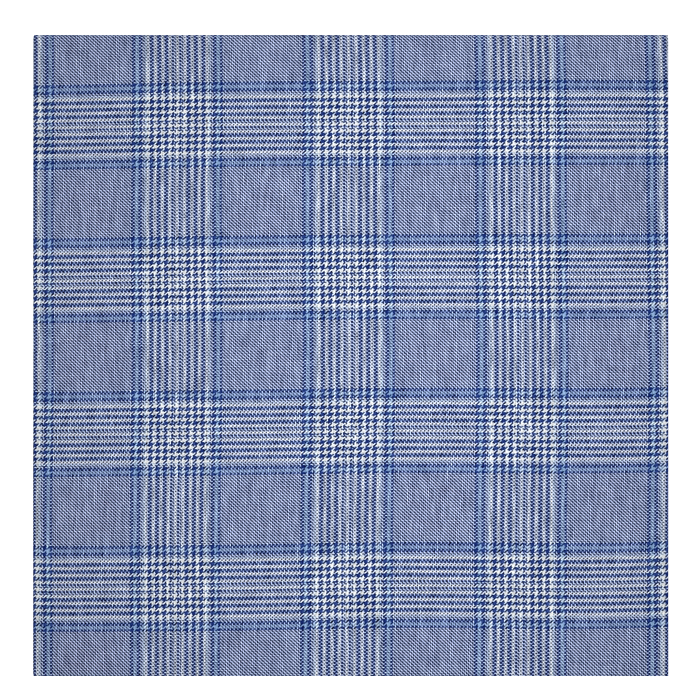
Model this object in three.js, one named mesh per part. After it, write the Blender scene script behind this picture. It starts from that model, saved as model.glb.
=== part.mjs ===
import * as THREE from "three";

// A folded pocket square. One square of fine cotton twill with a narrow hem all round is folded
// in half and then in half again, so that four layers lie in a flat stack with straight edges.
// Millimetres, +Z up. The origin is on the resting surface, under the middle of the stack.
// The first fold is at -X and the second at +Y. The open, hemmed edges are at +X and -Y.

// The face that shows from above
const FACE_WIDTH = 165;
const FACE_LENGTH = 166.7;

// The cloth, the space inside each doubled half, and the space between the two halves
const CLOTH = 1;
const PAIR_GAP = 0.6;
const MIDDLE_GAP = 0.3;

// The hem is turned to the reverse side, so it makes the cloth thicker on that side only
const HEM_WIDTH = 3;
const HEM_RISE = 0.2;
const HEM_STEP = 0.5;

// The open edges are slightly rounded: how far in from the edge, and how much each face draws in
const EDGE_ROUNDING = [
  { inset: 0, drawIn: 0.25 },
  { inset: 0.12, drawIn: 0.08 },
  { inset: 0.35, drawIn: 0 },
];

// Each layer from the top down: how far its open edges stop short of the top layer's edges,
// at the side (+X) and at the end (-Y), and how far they wander along their length
const LAYERS = {
  topOuter: { side: 0, end: 0, wander: 0 },
  topInner: { side: 0.7, end: 0.6, wander: 0.2 },
  bottomInner: { side: 1.1, end: 0.8, wander: 0.3 },
  bottomOuter: { side: 0.6, end: 1, wander: 0.25 },
};
const WANDER_LENGTH = 95;

// The folds are pressed: 1 would be a half-round bend, and less is flatter with tighter corners
const PRESS = 0.4;

// How finely the flat parts and the folds are divided
const FLAT_STEPS = 8;
const FOLD_STEPS = 10;

const CLOTH_COLOUR = 0x7e8bab;

// The distance from the first fold's centre, and from the second's, to the outermost face
const SIDE_REACH = PAIR_GAP / 2 + CLOTH;
const PAIR_CENTRE = MIDDLE_GAP / 2 + SIDE_REACH;
const END_REACH = PAIR_CENTRE + SIDE_REACH;
const MIDDLE_HEIGHT = END_REACH;

const SIDE_FLAT = FACE_WIDTH - SIDE_REACH;
const END_FLAT = FACE_LENGTH - END_REACH;

// The lines on which the cloth is divided, from one open edge, round a fold, to the other.
// inset is the distance in from the open edge, and turn is the direction away from the fold's
// centre: straight down on the first half, straight up on the second.
function divisions(flat) {
  const insets = EDGE_ROUNDING.map((row) => row.inset);
  insets.push(HEM_WIDTH - HEM_STEP, HEM_WIDTH);
  for (let step = 1; step <= FLAT_STEPS; step += 1) {
    insets.push(HEM_WIDTH + ((flat - HEM_WIDTH) * step) / FLAT_STEPS);
  }
  const firstHalf = insets.map((inset) => ({ inset, turn: -Math.PI / 2 }));
  const secondHalf = insets.map((inset) => ({ inset, turn: Math.PI / 2 })).reverse();
  const bend = [];
  for (let step = 1; step < FOLD_STEPS; step += 1) {
    bend.push({ inset: flat, turn: Math.PI * (step / FOLD_STEPS - 0.5) });
  }
  return [...firstHalf, ...bend, ...secondHalf];
}

// A pressed fold carries a face that is this far from the fold's centre out, and up or down
function roundFold(turn, reach) {
  const cos = Math.max(0, Math.cos(turn));
  const sin = Math.sin(turn);
  return {
    out: reach * cos ** PRESS,
    rise: reach * Math.sign(sin) * Math.abs(sin) ** PRESS,
  };
}

// How much each face draws in at a rounded open edge
function drawInAt(inset) {
  const row = EDGE_ROUNDING.find((entry) => inset <= entry.inset);
  return row ? row.drawIn : 0;
}

// How much the hem stands up on the reverse side
function hemRiseAt(inset) {
  return inset < HEM_WIDTH ? HEM_RISE : 0;
}

// A measure of the layers at this place, passing smoothly from layer to layer round the folds
function layerMeasure(column, side, end) {
  const outer = (1 + Math.sin(side.turn)) / 2;
  const upper = (1 + Math.sin(end.turn)) / 2;
  const inUpper = THREE.MathUtils.lerp(LAYERS.topInner[column], LAYERS.topOuter[column], outer);
  const inLower = THREE.MathUtils.lerp(
    LAYERS.bottomInner[column],
    LAYERS.bottomOuter[column],
    outer,
  );
  return THREE.MathUtils.lerp(inLower, inUpper, upper);
}

// A point on the cloth. side is a division round the first fold, end one round the second.
function clothPoint(side, end, isReverse) {
  const drawIn = Math.max(drawInAt(side.inset), drawInAt(end.inset));
  const hemRise = Math.max(hemRiseAt(side.inset), hemRiseAt(end.inset));
  const reach = isReverse ? PAIR_GAP / 2 - hemRise + drawIn : SIDE_REACH - drawIn;
  const first = roundFold(side.turn, reach);
  const second = roundFold(end.turn, PAIR_CENTRE + first.rise);

  const wander = layerMeasure("wander", side, end);
  const sideWave = wander * Math.sin((2 * Math.PI * end.inset) / WANDER_LENGTH);
  const endWave = wander * Math.sin((2 * Math.PI * side.inset) / WANDER_LENGTH);
  const sideShort = (layerMeasure("side", side, end) + sideWave) * (1 - side.inset / SIDE_FLAT);
  const endShort = (layerMeasure("end", side, end) + endWave) * (1 - end.inset / END_FLAT);

  return new THREE.Vector3(
    FACE_WIDTH / 2 - side.inset - first.out - sideShort,
    -FACE_LENGTH / 2 + end.inset + second.out + endShort,
    MIDDLE_HEIGHT + second.rise,
  );
}

// The cloth as one closed skin: its right side, its reverse side, and its thin edge all round
function clothGeometry() {
  const sides = divisions(SIDE_FLAT);
  const ends = divisions(END_FLAT);
  const rows = ends.length;
  const faceSize = sides.length * rows;
  const positions = [];
  for (const isReverse of [false, true]) {
    for (const side of sides) {
      for (const end of ends) {
        positions.push(...clothPoint(side, end, isReverse).toArray());
      }
    }
  }

  const triangles = [];
  const addFour = (a, b, c, d) => triangles.push(a, b, c, a, c, d);
  const right = (i, j) => i * rows + j;
  const reverse = (i, j) => faceSize + right(i, j);
  const lastSide = sides.length - 1;
  const lastEnd = rows - 1;
  for (let i = 0; i < lastSide; i += 1) {
    for (let j = 0; j < lastEnd; j += 1) {
      addFour(right(i, j), right(i, j + 1), right(i + 1, j + 1), right(i + 1, j));
      addFour(reverse(i, j), reverse(i + 1, j), reverse(i + 1, j + 1), reverse(i, j + 1));
    }
  }
  for (let i = 0; i < lastSide; i += 1) {
    addFour(right(i, 0), right(i + 1, 0), reverse(i + 1, 0), reverse(i, 0));
    addFour(
      right(i + 1, lastEnd),
      right(i, lastEnd),
      reverse(i, lastEnd),
      reverse(i + 1, lastEnd),
    );
  }
  for (let j = 0; j < lastEnd; j += 1) {
    addFour(right(0, j + 1), right(0, j), reverse(0, j), reverse(0, j + 1));
    addFour(
      right(lastSide, j),
      right(lastSide, j + 1),
      reverse(lastSide, j + 1),
      reverse(lastSide, j),
    );
  }

  const geometry = new THREE.BufferGeometry();
  geometry.setAttribute("position", new THREE.Float32BufferAttribute(positions, 3));
  geometry.setIndex(triangles);
  geometry.computeVertexNormals();
  return geometry;
}

const clothMaterial = new THREE.MeshStandardMaterial({
  color: CLOTH_COLOUR,
  roughness: 0.9,
  metalness: 0,
});

const pocketSquare = new THREE.Mesh(clothGeometry(), clothMaterial);
pocketSquare.name = "pocket_square";

const foldedPocketSquare = new THREE.Group();
foldedPocketSquare.name = "folded_pocket_square";
foldedPocketSquare.add(pocketSquare);

export default foldedPocketSquare;
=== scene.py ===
import math

import bpy
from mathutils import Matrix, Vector


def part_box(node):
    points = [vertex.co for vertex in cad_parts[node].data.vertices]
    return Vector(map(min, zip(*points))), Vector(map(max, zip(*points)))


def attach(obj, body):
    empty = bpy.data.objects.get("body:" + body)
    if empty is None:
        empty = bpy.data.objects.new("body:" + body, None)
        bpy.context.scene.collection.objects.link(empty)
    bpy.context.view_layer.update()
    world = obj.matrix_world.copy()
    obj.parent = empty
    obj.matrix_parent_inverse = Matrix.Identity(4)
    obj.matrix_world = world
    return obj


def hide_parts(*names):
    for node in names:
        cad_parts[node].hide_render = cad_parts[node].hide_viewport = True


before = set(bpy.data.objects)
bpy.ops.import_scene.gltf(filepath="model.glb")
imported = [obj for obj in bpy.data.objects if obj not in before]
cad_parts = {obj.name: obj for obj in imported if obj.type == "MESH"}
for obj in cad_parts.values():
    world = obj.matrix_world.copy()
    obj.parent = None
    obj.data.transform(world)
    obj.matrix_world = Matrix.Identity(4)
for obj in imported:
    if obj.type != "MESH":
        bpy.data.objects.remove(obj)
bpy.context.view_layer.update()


# The pocket square: one square of fine cotton twill, folded in half at the left (-X) and again at
# the far side (+Y), and pressed, so that four layers lie flat with the right side of the cloth
# outwards. Its narrow hem is turned twice to the wrong side, all round. It lies on the surface.
square_low, square_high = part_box("pocket_square")
FACE_WIDTH = square_high.x - square_low.x
FACE_LENGTH = square_high.y - square_low.y
STACK_HEIGHT = square_high.z - square_low.z

CLOTH_THICKNESS = 0.0004
HEM_WIDTH = 0.003
HEM_LAYERS = 3
HEM_THICKNESS = HEM_LAYERS * CLOTH_THICKNESS
HEM_FOLD_RADIUS = 0.0004
HEM_NOSE = 0.00015

# The space between the two doubled halves
MIDDLE_GAP = 0.0003

# A fold is pressed: 1 would be a half-round bend, and less is flatter with tighter corners
PRESS = 0.4

# How far each layer's open edges stop short of the top layer's, at the right and at the near side,
# and how far they wander along their length
LAYERS = {
    "top outer": {"side": 0.0, "end": 0.0, "wander": 0.0},
    "top inner": {"side": 0.0007, "end": 0.0006, "wander": 0.0002},
    "bottom inner": {"side": 0.0011, "end": 0.0008, "wander": 0.0003},
    "bottom outer": {"side": 0.0006, "end": 0.001, "wander": 0.00025},
}
WANDER_LENGTH = 0.095

# How finely the rounded parts, the hem, the flat parts and the folds are divided
ROUND_STEPS = 4
HEM_STEPS = 2
FLAT_STEPS = 58
FOLD_STEPS = 20

# From the middle of a fold to the outermost face, at the first fold and at the second
END_REACH = STACK_HEIGHT / 2
SIDE_REACH = (END_REACH - MIDDLE_GAP / 2) / 2
PAIR_CENTRE = END_REACH - SIDE_REACH
SIDE_FLAT = FACE_WIDTH - SIDE_REACH
END_FLAT = FACE_LENGTH - END_REACH


def pressed_bend(turn, reach):
    """How far a face lies out from a fold's middle, and above it, where the fold has turned so far."""
    cosine = max(0.0, math.cos(turn))
    sine = math.sin(turn)
    rise = math.copysign(abs(sine) ** PRESS, sine)
    return reach * cosine**PRESS, reach * rise


def cloth_lines(flat, bend_reach):
    """The lines across the cloth from one open edge, round the fold, to the other open edge.

    inset is the distance in from the edge, turn the direction away from the fold's middle, nose
    is what the rounded edge takes off, hem how much of the hem's thickness is there, and run the
    place along the cloth, counted back from the open edge of the half that lies uppermost."""
    half = []
    for step in range(ROUND_STEPS + 1):
        angle = math.pi / 2 * step / ROUND_STEPS
        inset = HEM_NOSE * (1 - math.cos(angle))
        half.append({"inset": inset, "nose": HEM_THICKNESS / 2 * (1 - math.sin(angle)), "hem": 1.0})
    hem_flat = HEM_WIDTH - HEM_FOLD_RADIUS - HEM_NOSE
    for step in range(1, HEM_STEPS):
        half.append({"inset": HEM_NOSE + hem_flat * step / HEM_STEPS, "nose": 0.0, "hem": 1.0})
    for step in range(ROUND_STEPS + 1):
        angle = math.pi / 2 * step / ROUND_STEPS
        inset = HEM_WIDTH - HEM_FOLD_RADIUS * (1 - math.sin(angle))
        half.append({"inset": inset, "nose": 0.0, "hem": math.cos(angle)})
    for step in range(1, FLAT_STEPS + 1):
        inset = HEM_WIDTH + (flat - HEM_WIDTH) * step / FLAT_STEPS
        half.append({"inset": inset, "nose": 0.0, "hem": 0.0})

    first = [{**line, "turn": -math.pi / 2} for line in half]
    bend = [
        {"inset": flat, "nose": 0.0, "hem": 0.0, "turn": math.pi * (step / FOLD_STEPS - 0.5)}
        for step in range(1, FOLD_STEPS)
    ]
    second = [{**line, "turn": math.pi / 2} for line in reversed(half)]
    lines = first + bend + second

    run = 0.0
    for line, after in zip(reversed(lines), reversed(lines[1:] + lines[-1:])):
        out, rise = pressed_bend(line["turn"], bend_reach)
        out_after, rise_after = pressed_bend(after["turn"], bend_reach)
        run += math.hypot(out - out_after, rise - rise_after) + abs(line["inset"] - after["inset"])
        line["run"] = run
    return lines


def layer_measure(column, side, end):
    """A measure of the layers at this place, passing smoothly from layer to layer round the folds."""
    outer = (1 + math.sin(side["turn"])) / 2
    upper = (1 + math.sin(end["turn"])) / 2
    top = LAYERS["top inner"][column] * (1 - outer) + LAYERS["top outer"][column] * outer
    bottom = LAYERS["bottom inner"][column] * (1 - outer) + LAYERS["bottom outer"][column] * outer
    return bottom * (1 - upper) + top * upper


def cloth_point(side, end, is_reverse):
    """A point of the right side or the reverse of the cloth, folded."""
    nose = max(side["nose"], end["nose"])
    hem = max(side["hem"], end["hem"])
    thickness = CLOTH_THICKNESS + (HEM_THICKNESS - CLOTH_THICKNESS) * hem
    reach = SIDE_REACH - thickness + nose if is_reverse else SIDE_REACH - nose
    first_out, first_rise = pressed_bend(side["turn"], reach)
    second_out, second_rise = pressed_bend(end["turn"], PAIR_CENTRE + first_rise)

    wander = layer_measure("wander", side, end)
    side_wave = wander * math.sin(2 * math.pi * end["inset"] / WANDER_LENGTH)
    end_wave = wander * math.sin(2 * math.pi * side["inset"] / WANDER_LENGTH)
    side_short = (layer_measure("side", side, end) + side_wave) * (1 - side["inset"] / SIDE_FLAT)
    end_short = (layer_measure("end", side, end) + end_wave) * (1 - end["inset"] / END_FLAT)
    return Vector((
        square_high.x - side["inset"] - first_out - side_short,
        square_low.y + end["inset"] + second_out + end_short,
        square_low.z + END_REACH + second_rise,
    ))


sides = cloth_lines(SIDE_FLAT, SIDE_REACH)
ends = cloth_lines(END_FLAT, END_REACH)
last_side = len(sides) - 1
last_end = len(ends) - 1

# The right side and the reverse share their points on the rounded outer edge
places = [(i, j, False) for i in range(last_side + 1) for j in range(last_end + 1)]
places += [(i, j, True) for i in range(1, last_side) for j in range(1, last_end)]
number_at = {place: number for number, place in enumerate(places)}
points = [cloth_point(sides[i], ends[j], is_reverse) for i, j, is_reverse in places]
faces = []
for i in range(last_side):
    for j in range(last_end):
        corners = [(i, j), (i, j + 1), (i + 1, j + 1), (i + 1, j)]
        right_side = [number_at[(*corner, False)] for corner in corners]
        reverse = [number_at.get((*corner, True), number_at[(*corner, False)]) for corner in corners]
        faces.append(right_side)
        faces.append(reverse[::-1])

cloth_mesh = bpy.data.meshes.new("pocket_square_cloth")
cloth_mesh.from_pydata(points, [], faces)

# The threads of the check: one repeat of the cloth holds a striped band and a plain field. The
# ends run along Y and are counted to the right, and the picks along X, counted towards the near
# side, both from the start of a band.
BAND_THREADS = 99
FIELD_ENDS = 85
FIELD_PICKS = 79
REPEAT_WIDTH = 0.04446
REPEAT_LENGTH = 0.04005
BAND_START_X = -0.05707
BAND_START_Y = 0.07105


# The cloth was laid and pressed a little unevenly. These two smooth formulas, which were fitted to
# the places of the threads in the photo, give their distance from an even grid.
def drift_across(x, y):
    """How far the ends lie to the right of where they would in an even grid."""
    bow = 0.00104 * x + 0.00067 * x**2 - 0.00104 * x**3
    lean = 0.00005 + 0.00038 * y - 0.00045 * y**2 - 0.00016 * y**3
    twist = -0.00031 * x * y * (1 + x + y)
    wave = 0.00012 * math.cos(6.7 * y + 0.35)
    return bow + lean + twist + wave


def drift_along(x, y):
    """How far the picks lie towards the near side of where they would in an even grid."""
    bow = -0.00053 - 0.00056 * x + 0.0006 * x**2 - 0.00013 * x**3
    lean = 0.00019 * y + 0.00033 * y**2 - 0.00026 * y**3
    wave = (0.00014 * y - 0.00005) * math.sin(6 * x + 0.6)
    at_the_edges = 0.0003 * (y - 0.9) * x**8
    return bow + lean + wave + at_the_edges - 0.00015 * x**2 * y


def thread_count(run_x, run_y, point):
    """The ends and the picks counted to this place, along the cloth and with its drift."""
    x = point.x / (FACE_WIDTH / 2)
    y = point.y / (FACE_LENGTH / 2)
    repeats = (square_high.x - run_x - drift_across(x, y) - BAND_START_X) / REPEAT_WIDTH
    near = square_low.y + run_y
    picks = (BAND_START_Y - near - drift_along(x, y)) / REPEAT_LENGTH
    return repeats * (BAND_THREADS + FIELD_ENDS), picks * (BAND_THREADS + FIELD_PICKS)


thread_map = cloth_mesh.uv_layers.new(name="ThreadCount")
for loop in cloth_mesh.loops:
    i, j = places[loop.vertex_index][:2]
    point = points[loop.vertex_index]
    thread_map.data[loop.index].uv = thread_count(sides[i]["run"], ends[j]["run"], point)

cloth = bpy.data.objects.new("pocket_square_cloth", cloth_mesh)
bpy.context.collection.objects.link(cloth)
for polygon in cloth_mesh.polygons:
    polygon.use_smooth = True


# The cloth's yarns and weave. Navy, white and light blue yarns, in fours in the band and one by
# one in the field, are woven in a 2/2 twill, so that the check shows on both sides of the cloth.
# The colours are display values: the threads mix on that scale, and the mixture is made linear.
YARNS = ("navy", "white", "light blue")

# The order of the stripes was read from the photo. Their thread counts and the yarns' colours were
# fitted to it.
BAND_CHART = (
    "NNNN BBBB NNNN WNWB WWWW NNNN WWWW NNNN WWWW NNNN WWWW NNWN WWWW "
    "NNWN WWWW NNNN WWWW NNNN WWWW NNNN WWWW BWNW NNNN BBBB NNN"
).replace(" ", "")
HALF_BAND = 50
DYES = {"N": (1, 0, 0, 1), "W": (0, 1, 0, 1), "B": (0, 0, 1, 1)}
WARP_COLOURS = {"navy": (31, 50, 123), "white": (221, 225, 232), "light blue": (141, 173, 213)}
WEFT_COLOURS = {"navy": (36, 64, 130), "white": (239, 241, 238), "light blue": (137, 171, 212)}
LARGEST_LEVEL = 255
DISPLAY_GAMMA = 2.2
LIGHTNESS = (0.3, 0.59, 0.11)

# Of four crossings two have the warp on top. A contrast of 1 is that of threads that plainly cover
# each other, and the photo shows more. Then come how clear single threads are beside their neighbours,
# and how much painted shade darkens a mixture of navy and paler threads, standing in for the shadow
# and scattered light between unlike threads.
TWILL_REPEAT = 4
TWILL_UP = 2
TWILL_CONTRAST = 1.42
THREAD_CLARITY = 1.03
MIXING_PAINTED_SHADE = 0.046

# Slubs are thicker lengths of one yarn, which cover more of the yarns they cross and catch more
# light, and the fibres vary a little at every crossing. The lengths are counted in threads.
SLUB_STEP = 0.73
SLUB_LENGTH = 20.0
WARP_SLUBS = 0.9
WEFT_SLUBS = 0.6
FIBRE_GRAIN = 1.4
FIBRE_AMOUNT = 0.6
SLUB_LIGHT = 0.48
WEFT_LIGHT_SHARE = 0.5
WARP_SEED = 3.5
WEFT_SEED = 17.5
FIBRE_SEED = 31.5


def set_or_link(tree, socket, value):
    if isinstance(value, bpy.types.NodeSocket):
        tree.links.new(value, socket)
    else:
        socket.default_value = value


def calculate(tree, operation, *values):
    """A Math node of numbers or sockets."""
    node = tree.nodes.new("ShaderNodeMath")
    node.operation = operation
    for socket, value in zip(node.inputs, values):
        set_or_link(tree, socket, value)
    return node.outputs["Value"]


def total_of(tree, pairs):
    """The sum of vectors, each taken so many times: pairs of (vector, share)."""
    total = None
    for vector, share in pairs:
        scaled = tree.nodes.new("ShaderNodeVectorMath")
        scaled.operation = "SCALE"
        set_or_link(tree, scaled.inputs["Vector"], vector)
        set_or_link(tree, scaled.inputs["Scale"], share)
        if total is None:
            total = scaled.outputs["Vector"]
            continue
        added = tree.nodes.new("ShaderNodeVectorMath")
        added.operation = "ADD"
        tree.links.new(total, added.inputs[0])
        tree.links.new(scaled.outputs["Vector"], added.inputs[1])
        total = added.outputs["Vector"]
    return total


def new_group(name, inputs, outputs):
    tree = bpy.data.node_groups.new(name, "ShaderNodeTree")
    for socket_name in inputs:
        tree.interface.new_socket(name=socket_name, in_out="INPUT", socket_type="NodeSocketFloat")
    for socket_name, kind in outputs.items():
        tree.interface.new_socket(name=socket_name, in_out="OUTPUT", socket_type=kind)
    return tree, tree.nodes.new("NodeGroupInput").outputs, tree.nodes.new("NodeGroupOutput").inputs


def half_chart(tree, threads, place):
    """The dyes of one half of the band, where place is the thread's number in that half."""
    ramp = tree.nodes.new("ShaderNodeValToRGB")
    ramp.color_ramp.interpolation = "CONSTANT"
    stops = ramp.color_ramp.elements
    stops.remove(stops[1])
    stops[0].color = DYES[threads[0]]
    for number in range(1, len(threads)):
        if threads[number] != threads[number - 1]:
            stops.new(number / HALF_BAND).color = DYES[threads[number]]
    middle = calculate(tree, "DIVIDE", calculate(tree, "ADD", place, 0.5), HALF_BAND)
    set_or_link(tree, ramp.inputs["Fac"], middle)
    return ramp.outputs["Color"]


def build_yarn_chart():
    """Thread number in, and out come shares of navy, white and light blue, of which one is 1."""
    tree, given, result = new_group(
        "Yarn chart", ("Thread", "Repeat"), {"Dyes": "NodeSocketVector"}
    )
    place = calculate(tree, "FLOORED_MODULO", given["Thread"], given["Repeat"])
    in_first = calculate(tree, "LESS_THAN", place, HALF_BAND - 0.5)
    in_band = calculate(tree, "LESS_THAN", place, BAND_THREADS - 0.5)
    in_second = calculate(tree, "SUBTRACT", in_band, in_first)
    in_field = calculate(tree, "SUBTRACT", 1, in_band)
    first = half_chart(tree, BAND_CHART[:HALF_BAND], place)
    second_place = calculate(tree, "SUBTRACT", place, HALF_BAND)
    second = half_chart(tree, BAND_CHART[HALF_BAND:], second_place)
    is_navy = calculate(tree, "FLOORED_MODULO", calculate(tree, "SUBTRACT", place, BAND_THREADS), 2)
    field = tree.nodes.new("ShaderNodeCombineXYZ")
    set_or_link(tree, field.inputs["X"], is_navy)
    set_or_link(tree, field.inputs["Y"], calculate(tree, "SUBTRACT", 1, is_navy))
    pairs = [(first, in_first), (second, in_second), (field.outputs["Vector"], in_field)]
    tree.links.new(total_of(tree, pairs), result["Dyes"])
    return tree


def build_yarn_slubs():
    """Ends and picks in, and out come how much more the warp shows there, and how much lighter
    the cloth is, than if every yarn were even."""
    outputs = {"Warp gain": "NodeSocketFloat", "Light gain": "NodeSocketFloat"}
    tree, given, result = new_group("Yarn slubs", ("Ends", "Picks"), outputs)

    def unevenness(across, across_scale, along, along_scale, amount, seed):
        place = tree.nodes.new("ShaderNodeCombineXYZ")
        set_or_link(tree, place.inputs["X"], calculate(tree, "MULTIPLY", across, across_scale))
        set_or_link(tree, place.inputs["Y"], calculate(tree, "MULTIPLY", along, along_scale))
        place.inputs["Z"].default_value = seed
        texture = tree.nodes.new("ShaderNodeTexNoise")
        texture.inputs["Scale"].default_value = 1
        texture.inputs["Detail"].default_value = 1
        tree.links.new(place.outputs["Vector"], texture.inputs["Vector"])
        centred = calculate(tree, "SUBTRACT", texture.outputs["Fac"], 0.5)
        return calculate(tree, "MULTIPLY", centred, amount)

    ends, picks = given["Ends"], given["Picks"]
    end = calculate(tree, "FLOOR", ends)
    pick = calculate(tree, "FLOOR", picks)
    warp = unevenness(end, SLUB_STEP, picks, 1 / SLUB_LENGTH, WARP_SLUBS, WARP_SEED)
    weft = unevenness(pick, SLUB_STEP, ends, 1 / SLUB_LENGTH, WEFT_SLUBS, WEFT_SEED)
    grain = 1 / FIBRE_GRAIN
    fibres = unevenness(ends, grain, picks, grain, FIBRE_AMOUNT, FIBRE_SEED)
    slubs = calculate(tree, "SUBTRACT", warp, weft)
    tree.links.new(calculate(tree, "ADD", slubs, fibres), result["Warp gain"])
    both = calculate(tree, "MULTIPLY_ADD", weft, WEFT_LIGHT_SHARE, warp)
    catching = calculate(tree, "MULTIPLY", both, SLUB_LIGHT)
    tree.links.new(catching, result["Light gain"])
    return tree


def build_twill_weave(yarn_chart, yarn_slubs):
    """Ends and picks in, and out come how much of each yarn shows there and nearby, the slubs'
    gain of light, and the threads' height.

    A place is a mixture of the nine crossings about it, as the eye sees threads this fine."""
    tree, given, result = new_group(
        "Twill weave",
        ("Ends", "Picks"),
        {
            "Warp dyes": "NodeSocketVector",
            "Weft dyes": "NodeSocketVector",
            "Warp nearby": "NodeSocketVector",
            "Weft nearby": "NodeSocketVector",
            "Light gain": "NodeSocketFloat",
            "Height": "NodeSocketFloat",
        },
    )

    def thread_and_shares(count):
        thread = calculate(tree, "FLOOR", count)
        off = calculate(tree, "SUBTRACT", calculate(tree, "FRACT", count), 0.5)
        near_before = calculate(tree, "POWER", calculate(tree, "SUBTRACT", 0.5, off), 2)
        near_after = calculate(tree, "POWER", calculate(tree, "ADD", 0.5, off), 2)
        before = calculate(tree, "MULTIPLY", near_before, 0.5)
        after = calculate(tree, "MULTIPLY", near_after, 0.5)
        here = calculate(tree, "SUBTRACT", 1, calculate(tree, "ADD", before, after))
        from_middle = calculate(tree, "MULTIPLY", 4, calculate(tree, "POWER", off, 2))
        crown = calculate(tree, "SUBTRACT", 1, from_middle)
        nearby = {
            -1: calculate(tree, "MULTIPLY_ADD", off, -0.25, 0.125),
            0: 0.25,
            1: calculate(tree, "MULTIPLY_ADD", off, 0.25, 0.125),
        }
        return thread, {-1: before, 0: here, 1: after}, nearby, crown

    end, end_shares, ends_nearby, end_crown = thread_and_shares(given["Ends"])
    pick, pick_shares, picks_nearby, pick_crown = thread_and_shares(given["Picks"])
    slubs = tree.nodes.new("ShaderNodeGroup")
    slubs.node_tree = yarn_slubs
    for name in ("Ends", "Picks"):
        tree.links.new(given[name], slubs.inputs[name])
    tree.links.new(slubs.outputs["Light gain"], result["Light gain"])
    least = calculate(tree, "ADD", slubs.outputs["Warp gain"], (1 - TWILL_CONTRAST) / 2)
    diagonal = calculate(tree, "ADD", calculate(tree, "ADD", end, pick), 1)
    warp_up = {}
    for step in range(-2, 3):
        stepped = calculate(tree, "ADD", diagonal, step)
        in_repeat = calculate(tree, "FLOORED_MODULO", stepped, TWILL_REPEAT)
        is_up = calculate(tree, "LESS_THAN", in_repeat, TWILL_UP - 0.5)
        warp_up[step] = calculate(tree, "MULTIPLY_ADD", is_up, TWILL_CONTRAST, least)

    def share_up(shares, step):
        terms = [calculate(tree, "MULTIPLY", shares[off], warp_up[step + off]) for off in (-1, 0, 1)]
        return calculate(tree, "ADD", calculate(tree, "ADD", terms[0], terms[1]), terms[2])

    def dyes(thread, repeat):
        chart = tree.nodes.new("ShaderNodeGroup")
        chart.node_tree = yarn_chart
        set_or_link(tree, chart.inputs["Thread"], thread)
        chart.inputs["Repeat"].default_value = repeat
        return chart.outputs["Dyes"]

    warp_pairs = []
    weft_pairs = []
    warp_nearby_pairs = []
    weft_nearby_pairs = []
    for off in (-1, 0, 1):
        warp_share = calculate(tree, "MULTIPLY", end_shares[off], share_up(pick_shares, off))
        end_dyes = dyes(calculate(tree, "ADD", end, off), BAND_THREADS + FIELD_ENDS)
        warp_pairs.append((end_dyes, warp_share))
        warp_nearby_pairs.append((end_dyes, ends_nearby[off]))
        weft_showing = calculate(tree, "SUBTRACT", 1, share_up(end_shares, off))
        weft_share = calculate(tree, "MULTIPLY", pick_shares[off], weft_showing)
        pick_dyes = dyes(calculate(tree, "ADD", pick, off), BAND_THREADS + FIELD_PICKS)
        weft_pairs.append((pick_dyes, weft_share))
        weft_nearby_pairs.append((pick_dyes, picks_nearby[off]))
    tree.links.new(total_of(tree, warp_pairs), result["Warp dyes"])
    tree.links.new(total_of(tree, weft_pairs), result["Weft dyes"])
    tree.links.new(total_of(tree, warp_nearby_pairs), result["Warp nearby"])
    tree.links.new(total_of(tree, weft_nearby_pairs), result["Weft nearby"])

    on_top = calculate(tree, "ADD", warp_pairs[0][1], warp_pairs[1][1])
    on_top = calculate(tree, "ADD", on_top, warp_pairs[2][1])
    below = calculate(tree, "SUBTRACT", 1, on_top)
    crown = calculate(
        tree, "ADD",
        calculate(tree, "MULTIPLY", on_top, end_crown),
        calculate(tree, "MULTIPLY", below, pick_crown),
    )
    tree.links.new(crown, result["Height"])
    return tree


COTTON_ROUGHNESS = 0.88
COTTON_SPECULAR = 0.15
cotton = bpy.data.materials.new("checked cotton twill")
cotton.use_nodes = True
tree = cotton.node_tree
shader = tree.nodes["Principled BSDF"]
shader.inputs["Roughness"].default_value = COTTON_ROUGHNESS
shader.inputs["Specular IOR Level"].default_value = COTTON_SPECULAR

counts = tree.nodes.new("ShaderNodeUVMap")
counts.uv_map = "ThreadCount"
split = tree.nodes.new("ShaderNodeSeparateXYZ")
tree.links.new(counts.outputs["UV"], split.inputs["Vector"])
weave = tree.nodes.new("ShaderNodeGroup")
weave.node_tree = build_twill_weave(build_yarn_chart(), build_yarn_slubs())
tree.links.new(split.outputs["X"], weave.inputs["Ends"])
tree.links.new(split.outputs["Y"], weave.inputs["Picks"])

# Single threads share their hue with those beside them and keep their own lightness. Navy and paler
# threads in equal parts (a quarter, as the product of their shares) take the full painted shade, which
# stands in for the shadow and scattered light between unlike threads.
colour_pairs = {"dyes": [], "nearby": []}
navy_nearby = []
for yarn_set, colours in (("Warp", WARP_COLOURS), ("Weft", WEFT_COLOURS)):
    for kind, pairs in colour_pairs.items():
        shares = tree.nodes.new("ShaderNodeSeparateXYZ")
        tree.links.new(weave.outputs[f"{yarn_set} {kind}"], shares.inputs["Vector"])
        for axis, yarn in zip("XYZ", YARNS):
            level = tuple(channel / LARGEST_LEVEL for channel in colours[yarn])
            pairs.append((level, shares.outputs[axis]))
        if kind == "nearby":
            navy_nearby.append(shares.outputs["X"])
single = total_of(tree, colour_pairs["dyes"])
nearby = total_of(tree, colour_pairs["nearby"])

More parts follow.
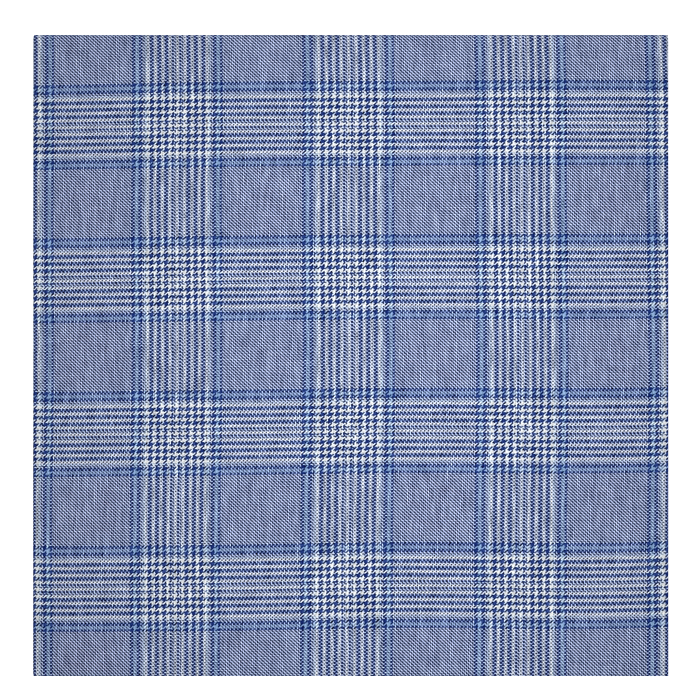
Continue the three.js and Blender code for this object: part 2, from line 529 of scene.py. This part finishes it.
difference = total_of(tree, [(single, 1), (nearby, -1)])
lightness = tree.nodes.new("ShaderNodeVectorMath")
lightness.operation = "DOT_PRODUCT"
tree.links.new(difference, lightness.inputs[0])
lightness.inputs[1].default_value = LIGHTNESS
# Painted shade between navy and paler threads, darkest where they mix in equal parts
navy_share = calculate(tree, "ADD", *navy_nearby)
paler_share = calculate(tree, "SUBTRACT", 1, navy_share)
mixing = calculate(tree, "MULTIPLY", navy_share, paler_share)
painted_shade = calculate(tree, "MULTIPLY", mixing, 4 * MIXING_PAINTED_SHADE)
relative = calculate(tree, "MULTIPLY", lightness.outputs["Value"], THREAD_CLARITY)
relative = calculate(tree, "SUBTRACT", relative, painted_shade)
relative = calculate(tree, "ADD", relative, weave.outputs["Light gain"])
mixed = total_of(tree, [(nearby, 1), ((1, 1, 1), relative)])
for operation, limit in (("MAXIMUM", 0), ("MINIMUM", 1)):
    limited = tree.nodes.new("ShaderNodeVectorMath")
    limited.operation = operation
    tree.links.new(mixed, limited.inputs[0])
    limited.inputs[1].default_value = (limit, limit, limit)
    mixed = limited.outputs["Vector"]

to_linear = tree.nodes.new("ShaderNodeGamma")
to_linear.inputs["Gamma"].default_value = DISPLAY_GAMMA
tree.links.new(mixed, to_linear.inputs["Color"])
tree.links.new(to_linear.outputs["Color"], shader.inputs["Base Color"])

THREAD_RELIEF = 0.00001
bump = tree.nodes.new("ShaderNodeBump")
bump.inputs["Distance"].default_value = THREAD_RELIEF
tree.links.new(weave.outputs["Height"], bump.inputs["Height"])
tree.links.new(bump.outputs["Normal"], shader.inputs["Normal"])
cloth_mesh.materials.append(cotton)

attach(cloth, "root")
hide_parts("pocket_square")


# The surface it lies on: a plain white table top, lit so evenly that it shows no shadow.
TABLE_SIDE = 3.0
TABLE_WHITE = 0.9
TABLE_ROUGHNESS = 0.9
TABLE_SPECULAR = 0.1
TABLE_GLOW = 0.8
table_mesh = bpy.data.meshes.new("table_top")
half_table = TABLE_SIDE / 2
table_corners = [
    (-half_table, -half_table, 0),
    (half_table, -half_table, 0),
    (half_table, half_table, 0),
    (-half_table, half_table, 0),
]
table_mesh.from_pydata(table_corners, [], [(0, 1, 2, 3)])
table_top = bpy.data.objects.new("table_top", table_mesh)
bpy.context.collection.objects.link(table_top)
table_finish = bpy.data.materials.new("white table")
table_finish.use_nodes = True
table_shader = table_finish.node_tree.nodes["Principled BSDF"]
table_shader.inputs["Base Color"].default_value = (TABLE_WHITE, TABLE_WHITE, TABLE_WHITE, 1)
table_shader.inputs["Roughness"].default_value = TABLE_ROUGHNESS
table_shader.inputs["Specular IOR Level"].default_value = TABLE_SPECULAR
table_shader.inputs["Emission Color"].default_value = (1, 1, 1, 1)
table_shader.inputs["Emission Strength"].default_value = TABLE_GLOW
table_mesh.materials.append(table_finish)


# The light: an even white tent all round, and one soft lamp above, a little to the right of the
# middle and to the far side, so that the face is brightest there and darkens slightly to its edges.
# The lamp's size, place and strength were fitted to the shade in the photo.
TENT_STRENGTH = 0.297
LAMP_WIDTH = 0.15
LAMP_LENGTH = 0.3
LAMP_HEIGHT = 0.18
LAMP_OFFSET_X = 0.012
LAMP_OFFSET_Y = 0.01
LAMP_WATTS = 0.337
tent = bpy.data.worlds.new("white tent")
bpy.context.scene.world = tent
tent.use_nodes = True
tent.node_tree.nodes["Background"].inputs["Color"].default_value = (1, 1, 1, 1)
tent.node_tree.nodes["Background"].inputs["Strength"].default_value = TENT_STRENGTH
lamp_light = bpy.data.lights.new("soft lamp", "AREA")
lamp_light.shape = "RECTANGLE"
lamp_light.size = LAMP_WIDTH
lamp_light.size_y = LAMP_LENGTH
lamp_light.energy = LAMP_WATTS
lamp = bpy.data.objects.new("soft lamp", lamp_light)
lamp.location = (LAMP_OFFSET_X, LAMP_OFFSET_Y, LAMP_HEIGHT)
bpy.context.collection.objects.link(lamp)
bpy.context.scene.view_settings.view_transform = "Standard"


# The camera looks straight down. In the 700 pixel frame the face's middle is at (350.8, 355.4),
# and the face is 635.6 pixels wide. A narrow pixel filter keeps the single threads clear.
FRAME_PIXELS = 700
FACE_PIXELS_WIDE = 635.6
FACE_MIDDLE = (350.8, 355.4)
CAMERA_DISTANCE = 1.2
PIXEL_FILTER_WIDTH = 0.75
metres_per_pixel = FACE_WIDTH / FACE_PIXELS_WIDE
camera_data = bpy.data.cameras.new("camera")
camera = bpy.data.objects.new("camera", camera_data)
camera.location = (
    (FRAME_PIXELS / 2 - FACE_MIDDLE[0]) * metres_per_pixel,
    (FACE_MIDDLE[1] - FRAME_PIXELS / 2) * metres_per_pixel,
    square_high.z + CAMERA_DISTANCE,
)
camera_data.lens = camera_data.sensor_width * CAMERA_DISTANCE / (FRAME_PIXELS * metres_per_pixel)
bpy.context.collection.objects.link(camera)
bpy.context.scene.camera = camera
bpy.context.scene.cycles.filter_width = PIXEL_FILTER_WIDTH
